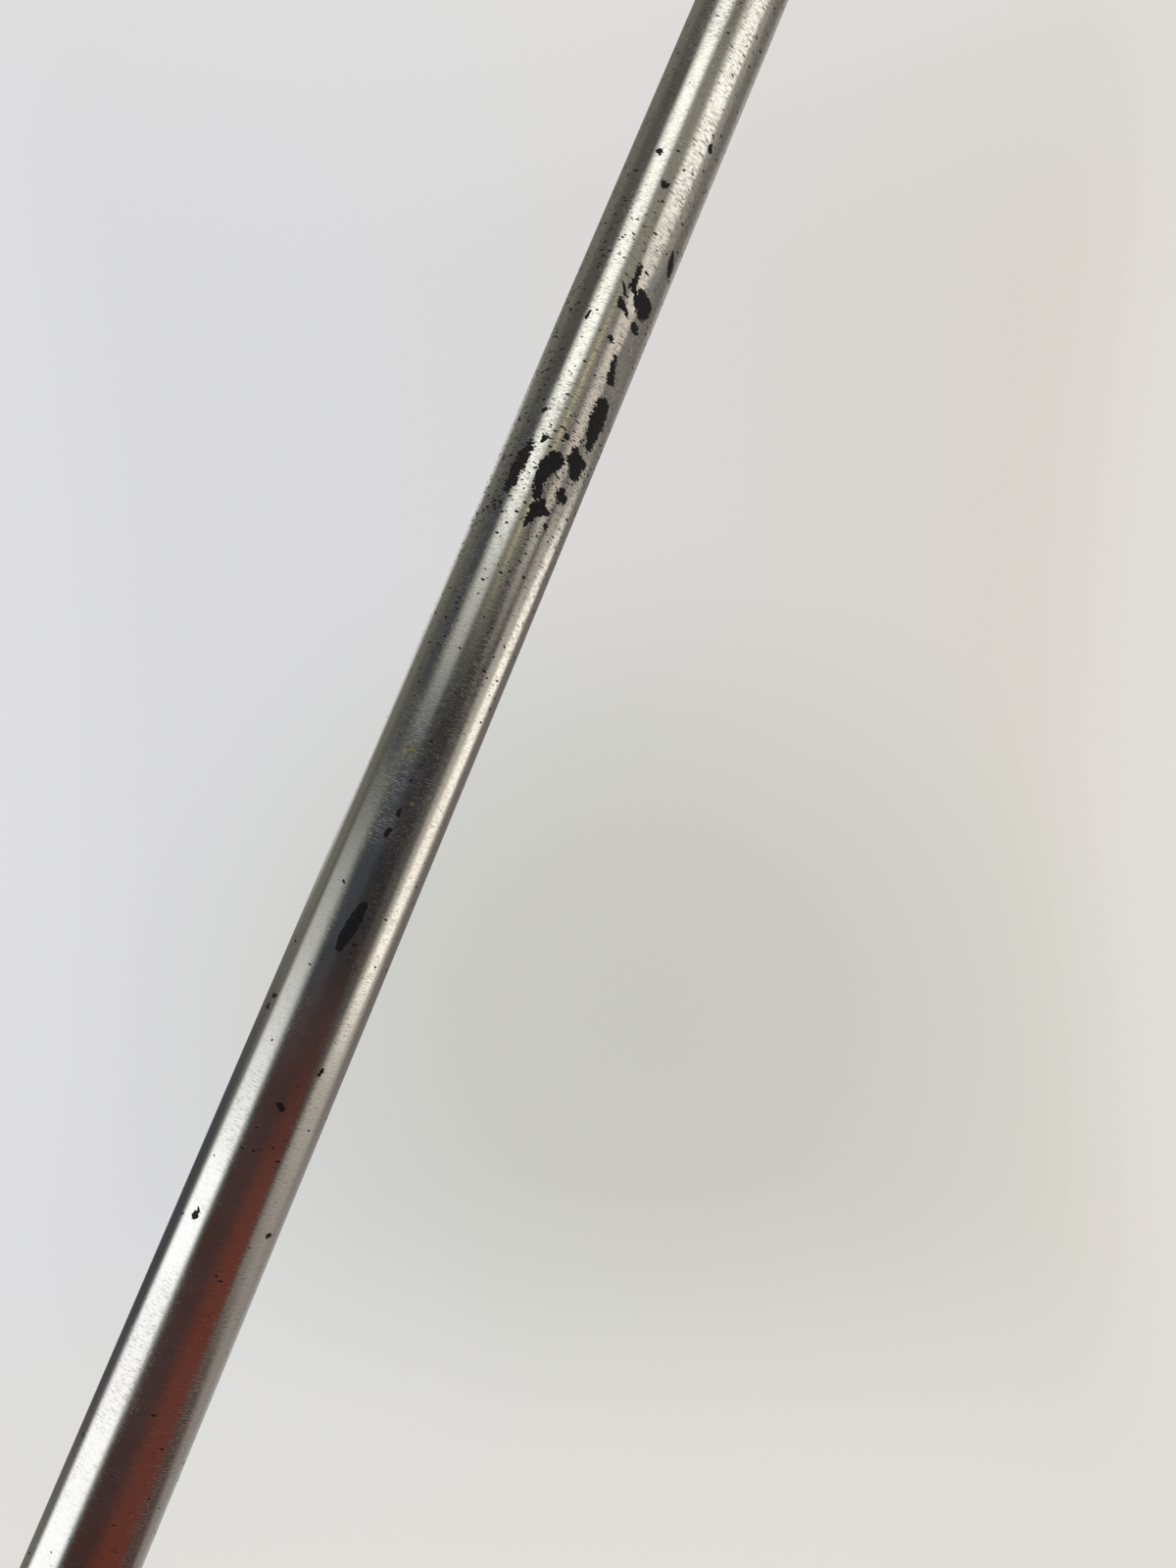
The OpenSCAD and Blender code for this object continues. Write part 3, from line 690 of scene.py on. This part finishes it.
def run_distance(s, z, run):
    """Signed distance in millimetres from points (round, up) to one tapering run, negative inside."""
    best = np.full(s.shape, np.inf)
    dots = [(math.radians(turn) * TUBE_R[0], height, half) for height, turn, half in run]
    for (s0, z0, r0), (s1, z1, r1) in zip(dots, dots[1:] + dots[-1:]):
        ds, dz = s1 - s0, z1 - z0
        t = np.clip(((s - s0) * ds + (z - z0) * dz) / max(ds * ds + dz * dz, 1e-9), 0, 1)
        widened = math.cos(s0 / TUBE_R[0])  # the half width is the one seen from -Y
        away = np.hypot((s - s0 - t * ds) * widened, z - z0 - t * dz)
        best = np.minimum(best, away - (r0 + t * (r1 - r0)))
    return best


def paint_flake(bm, runs, seed, step=0.11, thick=0.06, lip=0.012, sunk=0.05, ragged=0.5, spread=0.2):
    """Adds one thin, closed flake with a ragged outline to bm, bent round the tube and let into it a little.
    Its outline is where a noisy distance field on a fine grid is zero."""
    dots = [d for run in runs for d in run]
    margin = 1.6 * max(d[2] for d in dots) + 4 * step
    s_all, z_all = [math.radians(d[1]) * TUBE_R[0] for d in dots], [d[0] for d in dots]
    s_line = np.arange(min(s_all) - margin, max(s_all) + margin, step)
    z_line = np.arange(min(z_all) - margin, max(z_all) + margin, step)
    s, z = np.meshgrid(s_line, z_line, indexing="ij")
    depth = np.min([run_distance(s, z, run) for run in runs], axis=0)
    size = min(1.0, max(d[2] for d in dots) / 0.8)
    for index in np.ndindex(depth.shape):
        at = Vector((s[index], z[index], seed * 7.3))
        torn = Vector((s[index] * 1.7, z[index] * 4.2, seed * 3.1))
        wave = (0.6 * noise.noise(at * 0.8) + 0.8 * noise.noise(at * 2.1)
                + 1.1 * noise.noise(torn) + 0.5 * noise.noise(torn * 2.1))
        depth[index] += ragged * size * wave - spread * size
    tops, lows = {}, {}

    def point(key):
        """The top point of a grid corner, or of the place on a grid edge where the outline crosses it."""
        if key not in tops:
            if len(key) == 2:
                a, b, inside = s[key], z[key], -depth[key]
            else:
                one, two = key[:2], key[2:]
                t = depth[one] / (depth[one] - depth[two])
                a, b, inside = s[one] + t * (s[two] - s[one]), z[one] + t * (z[two] - z[one]), 0.0
            rise = thick * min(1.0, inside / 0.3) ** 0.5 * (0.8 + 0.5 * noise.noise(Vector((a, b, seed))))
            for store, r in ((tops, TUBE_R[0] - lip + rise), (lows, TUBE_R[0] - sunk)):
                turn = a / TUBE_R[0]
                store[key] = bm.verts.new(Vector((r * math.sin(turn), -r * math.cos(turn), b)) * MM)
        return key

    sides = {}  # used as a set that keeps its order
    for i in range(len(s_line) - 1):
        for j in range(len(z_line) - 1):
            ring = [(i, j), (i + 1, j), (i + 1, j + 1), (i, j + 1)]
            loop = []
            for one, two in zip(ring, ring[1:] + ring[:1]):
                if depth[one] < 0:
                    loop.append(point(one))
                if (depth[one] < 0) != (depth[two] < 0):
                    low, high = sorted((one, two))
                    loop.append(point((*low, *high)))
            if len(loop) >= 3:
                bm.faces.new([tops[k] for k in loop])
                bm.faces.new([lows[k] for k in reversed(loop)])
                for one, two in zip(loop, loop[1:] + loop[:1]):
                    if (two, one) in sides:
                        del sides[(two, one)]
                    else:
                        sides[(one, two)] = None
    for one, two in sides:
        bm.faces.new([tops[one], tops[two], lows[two], lows[one]][::-1])


def flakes(name, all_runs, material, **how):
    """One piece on the outer tube of all the flakes in a list."""
    bm = bmesh.new()
    for seed, runs in enumerate(all_runs):
        paint_flake(bm, runs, seed + 1, **how)
    bmesh.ops.remove_doubles(bm, verts=bm.verts, dist=0.0005 * MM)
    bmesh.ops.dissolve_degenerate(bm, dist=0.0005 * MM, edges=bm.edges)
    shown(finished_mesh(bm, name, 60), name, "handle", "tube_steel", material)


flakes("paint_flakes", FLAKES, ENAMEL)
flakes("paint_drip", DRIP, ENAMEL, ragged=0.16, spread=0.05)
flakes("mud_spots", MUD_SPOTS, MUD, thick=0.12)


SPECKS = {"Per_Square_Metre": 1400000.0, "Smallest": 0.09 * MM, "Largest": 0.62 * MM, "Thickness": 0.02 * MM,
          "Low": 470 * MM, "Full": 510 * MM, "Full_To": 572 * MM, "High": 600 * MM, "Patches": 75.0,
          "Crumbs": 4200.0, "Ragged": 0.45 * MM, "Seed": 3, "Material": ENAMEL}


def scattered_specks():
    """Small specks strewn over a skin: thick in patches, thin elsewhere, mostly lying round the tube."""
    tree, size, last = new_growth("scattered_specks", **SPECKS)
    place = add(tree, "GeometryNodeInputPosition")
    # how many there are
    patches = add(tree, "ShaderNodeTexNoise", {"Vector": place, "Scale": size["Patches"], "Detail": 2.0})
    patch = add(tree, "ShaderNodeMapRange",
                {"Value": patches, "From Min": 0.45, "From Max": 0.62, "To Min": 0.1},
                interpolation_type="SMOOTHSTEP")
    height = add(tree, "ShaderNodeSeparateXYZ", {0: place}).outputs["Z"]
    rising = add(tree, "ShaderNodeMapRange",
                 {"Value": height, "From Min": size["Low"], "From Max": size["Full"], "To Min": 0.08},
                 interpolation_type="SMOOTHSTEP")
    falling = add(tree, "ShaderNodeMapRange", {
        "Value": height, "From Min": size["Full_To"], "From Max": size["High"], "To Min": 1.0, "To Max": 0.25},
        interpolation_type="SMOOTHSTEP")
    up = both(tree, rising, falling)
    density = both(tree, both(tree, patch, up), size["Per_Square_Metre"])
    dots = add(tree, "GeometryNodeDistributePointsOnFaces",
               {"Mesh": size["Geometry"], "Density": density, "Seed": size["Seed"]})
    # how each one lies, and its size: most are small
    lean = add(tree, "FunctionNodeRandomValue", {"Min": (-0.45, -0.45, 1), "Max": (0.45, 0.45, 1),
                                                 "Seed": size["Seed"]}, data_type="FLOAT_VECTOR")
    turn = add(tree, "FunctionNodeAxesToRotation", {0: dots.outputs["Normal"], 1: lean},
               primary_axis="Z", secondary_axis="Y")
    chance = add(tree, "FunctionNodeRandomValue", {2: 0.0, 3: 1.0, "Seed": 11})
    mostly_small = add(tree, "ShaderNodeMath", {0: chance.outputs[1], 1: 2.8}, operation="POWER")
    wide = add(tree, "ShaderNodeMapRange",
               {"Value": mostly_small, "To Min": size["Smallest"], "To Max": size["Largest"]})
    squeeze = add(tree, "FunctionNodeRandomValue", {2: 0.18, 3: 0.7, "Seed": 12})
    narrow = both(tree, wide, squeeze.outputs[1])
    shape = add(tree, "ShaderNodeCombineXYZ", {"X": wide, "Y": narrow, "Z": size["Thickness"]})
    speck = add(tree, "GeometryNodeMeshCone",
                {"Vertices": 7, "Radius Top": 0.7, "Radius Bottom": 1.0, "Depth": 2.0})
    centred = add(tree, "GeometryNodeTransform", {"Geometry": speck, "Translation": (0, 0, -1)})
    strewn = add(tree, "GeometryNodeInstanceOnPoints",
                 {"Points": dots, "Instance": centred, "Rotation": turn, "Scale": shape})
    real = add(tree, "GeometryNodeRealizeInstances", {0: strewn})
    # their corners are pushed about, but not in or out
    jitter = add(tree, "ShaderNodeTexNoise", {"Vector": place, "Scale": size["Crumbs"], "Detail": 1.0})
    shift = add(tree, "ShaderNodeVectorMath", {0: jitter.outputs["Color"], 1: (0.5, 0.5, 0.5)},
                operation="SUBTRACT")
    moved = add(tree, "ShaderNodeVectorMath", {0: shift, "Scale": size["Ragged"]}, operation="SCALE")
    outward = add(tree, "ShaderNodeVectorMath", {0: place, 1: (1, 1, 0)}, operation="MULTIPLY")
    raised = add(tree, "ShaderNodeVectorMath", {0: moved, 1: outward}, operation="PROJECT")
    aside = add(tree, "ShaderNodeVectorMath", {0: moved, 1: raised}, operation="SUBTRACT")
    ragged = add(tree, "GeometryNodeSetPosition", {"Geometry": real, "Offset": aside})
    close_growth(tree, last, ragged, size["Material"])
    return tree


def tube_skin(low, high, rows=48, around=64):
    """The outside of the outer tube between two heights, as a sheet to strew specks on."""
    bm = bmesh.new()
    rings = []
    for j in range(rows + 1):
        z = low + (high - low) * j / rows
        rings.append([bm.verts.new(Vector((TUBE_R[0] * math.cos(a), TUBE_R[0] * math.sin(a), z)) * MM)
                      for a in (math.tau * k / around for k in range(around))])
    for under, over in zip(rings, rings[1:]):
        for k in range(around):
            n = (k + 1) % around
            bm.faces.new([under[k], under[n], over[n], over[k]])
    return as_mesh(bm, "tube_skin")


shown(grown("paint_specks", tube_skin(252, 712), scattered_specks(), SPECKS), "paint_specks", "handle",
      "tube_steel", None)

# Pieces that keep their CAD shape
for material, kept in (
        (FASTENER, ["butt_pin"]), (TAPE, ["grip_tape"]),
        (GLIDE_NYLON, ["second_glide", "third_glide", "tip_glide", "tip_plug"]),
        (SEAL, ["second_o_ring", "third_o_ring", "tip_o_ring"])):
    for node in kept:
        for material_slot in nodes[node].material_slots:
            material_slot.material = material


# ---------------- studio

CAMERA_SPOT = Vector((0, -227.4, 429)) * MM
CAMERA_TURN, CAMERA_RISE, CAMERA_ROLL = -8.0, -10.57, 21.38  # degrees
CAMERA_LENS, FULL_FRAME = 27, 36  # millimetres
FULL_METAL = 0.64  # share of the light from a screen that the steel gives back

camera = bpy.data.objects.new("camera", bpy.data.cameras.new("camera"))
camera.data.lens, camera.data.sensor_width = CAMERA_LENS, FULL_FRAME
camera.data.clip_start, camera.data.clip_end = 0.01, 20
a, e = math.radians(CAMERA_TURN), math.radians(CAMERA_RISE)
back = Vector((math.sin(a) * math.cos(e), -math.cos(a) * math.cos(e), math.sin(e)))
right = Vector((0, 0, 1)).cross(back).normalized()
upright = Matrix((right, back.cross(right), back)).transposed()
camera.matrix_world = (Matrix.Translation(CAMERA_SPOT)
                       @ (upright @ Matrix.Rotation(math.radians(CAMERA_ROLL), 3, "Z")).to_4x4())
scene.collection.objects.link(camera)
scene.camera = camera
RIGHT, UP = (camera.matrix_world.to_3x3() @ Vector(v) for v in ((1, 0, 0), (0, 1, 0)))

# What stands round the pole and shows in the steel, each over the last: (colour, turn from -Y towards +X,
# softness of its two sides, height above the horizon, softness of its low and high edges), in degrees. Where
# its sides lean, how far each one does for each degree of height comes last.
SCREENS = [
    ("#66605b", (110, 230), (26, 30), (-90, 90), (1, 1)),  # warm wall to the right
    ("#908d8a", (134, 230), (30, 30), (-90, -10), (1, 16)),  # it is paler low down
    ("#94918c", (134, 230), (30, 30), (27, 60), (14, 10)),  # and high up
    ("#c2c2c1", (-215, -140), (20, 22), (3, 26), (10, 10)),  # pale door behind on the left
    ("#3f3f43", (-165, -114), (18, 12), (-24, -4), (8, 10)),  # dark cabinet under it
    ("#46453f", (-104, 66), (26, 16), (-90, 90), (1, 1)),  # dark side that faces the pole
    ("#34373a", (-80, -60), (12, 8), (8, 27), (6, 8)),  # dark upright on the left
    ("#232223", (-34, 42), (14, 24), (-12, 15), (6, 14)),  # near-black middle
    ("#31363c", (-40, -6), (14, 14), (-9, 11), (8, 12)),  # its bluish left half
    ("#3b2622", (-36, 42), (8, 16), (-60, -3.5), (20, 6), (0, 1.4)),  # brown cloth low in front
    ("#4a3a35", (40, 62), (14, 14), (-60, -18), (10, 6), (0, 2.0)),  # its shaded right side
    ("#602f24", (18, 40), (44, 16), (-40, -9), (12, 12), (0, 1.4)),  # its orange part
    ("#787468", (-20, 17), (16, 16), (17, 44), (12, 10)),  # wall between the windows
    ("#c6bdb0", (50, 37), (16, 12), (19.5, 60), (16, 12), (0.8, -0.8)),  # beige wall, upper right
    ("#8c857b", (60, 92), (14, 14), (33, 60), (6, 12)),  # and its shade
    ("#fffaee", (26, 69), (14, 12), (35.4, 60), (5, 12)),  # window, upper right
    ("#a6a7a0", (-47, -16), (22, 14), (12.5, 60), (10, 12), (0.15, 0)),  # blind of the upper left window
    ("#fffef4", (-47, -19), (22, 16), (20.5, 60), (6, 12), (0.15, 0)),  # window, upper left
    ("#c2b98c", (-1, 5), (6, 6), (19, 31), (5, 6)),  # strip of yellow light
    ("#857d78", (43, 134), (30, 16), (-60, -9), (14, 12), (2.8, 0)),  # low wall to the right
    ("#a39c92", (65, 116), (14, 16), (-12, 24), (14, 12)),  # wall round the right window
    ("#fdf5e8", (76, 105), (14, 12), (-4, 21.5), (8, 8), (-0.8, -0.6)),  # right window
    ("#aeafa9", (-96, -52), (14, 24), (-60, 3.5), (12, 12), (-0.4, 0)),  # curtain of the lower left window
    ("#ffffff", (-91, -48), (18, 14), (-60, -7), (12, 14), (-0.85, 0)),  # window, lower left
    ("#cfcdc6", (-200, 200), (1, 1), (56, 91), (14, 1)),  # soft ceiling
    ("#8c8985", (-200, 200), (1, 1), (-91, -54), (1, 16)),  # floor
]


def studio():
    """A plain pale backdrop for the eye, soft light for matt surfaces, and screens for polished metal."""
    world = bpy.data.worlds.new("studio")
    world.use_nodes = True
    tree = world.node_tree
    tree.nodes.clear()
    look = add(tree, "ShaderNodeTexCoord").outputs["Generated"]
    axes = add(tree, "ShaderNodeSeparateXYZ", {0: look}).outputs
    front = add(tree, "ShaderNodeMath", {0: axes["Y"], 1: -1.0}, operation="MULTIPLY")
    turn, rise = (add(tree, "ShaderNodeMath", {0: angle}, operation="DEGREES") for angle in (
        add(tree, "ShaderNodeMath", {0: axes["X"], 1: front}, operation="ARCTAN2"),
        add(tree, "ShaderNodeMath", {0: axes["Z"]}, operation="ARCSINE")))
    lit = linear("#64625a", 1 / FULL_METAL)
    for colour, sides, soft_sides, heights, soft_heights, *leaning in SCREENS:
        leans = leaning[0] if leaning else (0, 0)
        covered = None  # 1 inside the screen
        for value, limits, softness, slopes in (
                (turn, sides, soft_sides, leans), (rise, heights, soft_heights, (0, 0))):
            for limit, soft, lean, first in zip(limits, softness, slopes, (0.0, 1.0)):
                moved = value
                if lean:
                    moved = add(tree, "ShaderNodeMath", {0: rise, 1: lean, 2: value}, operation="MULTIPLY_ADD")
                step = add(tree, "ShaderNodeMapRange", {
                    "Value": moved, "From Min": limit - soft / 2, "From Max": limit + soft / 2,
                    "To Min": first, "To Max": 1.0 - first}, interpolation_type="SMOOTHSTEP").outputs[0]
                covered = step if covered is None else both(tree, covered, step)
        lit = add(tree, "ShaderNodeMix", {0: covered, 6: lit, 7: linear(colour, 1 / FULL_METAL)},
                  data_type="RGBA").outputs[2]
    # plain soft light for everything that isn't a reflection: strongest from the upper left
    key = add(tree, "ShaderNodeVectorMath", {0: look, 1: Vector((-0.45, -0.5, 0.74))},
              operation="DOT_PRODUCT").outputs["Value"]
    soft = add(tree, "ShaderNodeMapRange", {"Value": key, "From Min": -1.0, "From Max": 1.0,
                                            "To Min": 0.3, "To Max": 1.3})
    soft_light = add(tree, "ShaderNodeCombineColor", {0: soft, 1: soft, 2: soft})
    shiny = add(tree, "ShaderNodeLightPath").outputs["Is Glossy Ray"]
    lit = add(tree, "ShaderNodeMix", {0: shiny, 6: soft_light, 7: lit}, data_type="RGBA").outputs[2]
    # backdrop: cool on the left, warmer on the right, a soft darker cloud, and paler at its rims
    cloud_spot = (-back + 0.035 * RIGHT - 0.2 * UP).normalized()
    across, up, near_cloud = (
        add(tree, "ShaderNodeVectorMath", {0: look, 1: way}, operation="DOT_PRODUCT").outputs["Value"]
        for way in (RIGHT, UP, cloud_spot))
    pale = linear("#dadadc")
    for value, low, high, colour, share in (
            (across, -0.34, -0.46, "#e0e0e3", 0.8), (across, -0.25, 0.42, "#d9d5cd", 1.0),
            (across, 0.32, 0.46, "#e4e1db", 0.8), (near_cloud, 0.91, 1.03, "#c4c5bb", 0.95),
            (up, -0.30, -0.58, "#e1e0da", 0.9), (up, 0.38, 0.62, "#e2e1e0", 0.6)):
        first, last = (0.0, share) if low < high else (share, 0.0)
        amount = add(tree, "ShaderNodeMapRange", {
            "Value": value, "From Min": min(low, high), "From Max": max(low, high), "To Min": first,
            "To Max": last}, interpolation_type="SMOOTHSTEP")
        pale = add(tree, "ShaderNodeMix", {0: amount, 6: pale, 7: linear(colour)},
                   data_type="RGBA").outputs[2]
    eye = add(tree, "ShaderNodeLightPath").outputs["Is Camera Ray"]
    seen = add(tree, "ShaderNodeMix", {0: eye, 6: lit, 7: pale}, data_type="RGBA").outputs[2]
    glow = add(tree, "ShaderNodeBackground", {"Color": seen, "Strength": 1.0})
    add(tree, "ShaderNodeOutputWorld", {"Surface": glow})
    scene.world = world


def pale_floor(radius=540, fade=230, gap=0.5):
    """A round sheet of pale paper under the pole that fades into the backdrop."""
    bm = bmesh.new()
    bmesh.ops.create_circle(bm, cap_ends=True, segments=96, radius=radius * MM,
                            matrix=Matrix.Translation((0, 0, -gap * MM)))
    mesh = as_mesh(bm, "floor")
    material, tree, shader, mm = new_material("seamless_paper", Roughness=0.9)
    fibres = marks(tree, mm, 2.5, 2.5, None, 5)
    painted(tree, shader, linear("#d9d9d8"), [(fibres, "#d3d2cf", 0.5)])
    relief(tree, shader, [(fibres, 0.05)])
    away = add(tree, "ShaderNodeVectorMath", {0: mm}, operation="LENGTH").outputs["Value"]
    gone = add(tree, "ShaderNodeMapRange",
               {"Value": away, "From Min": float(radius - fade), "From Max": radius - 5.0},
               interpolation_type="SMOOTHSTEP")
    clear = add(tree, "ShaderNodeBsdfTransparent")
    mixed = add(tree, "ShaderNodeMixShader", {0: gone, 1: shader, 2: clear})
    output = next(n for n in tree.nodes if n.type == "OUTPUT_MATERIAL")
    tree.links.new(mixed.outputs[0], output.inputs["Surface"])
    floor = bpy.data.objects.new("floor", mesh)
    mesh.materials.append(material)
    scene.collection.objects.link(floor)
    floor.visible_glossy = False


studio()
pale_floor()
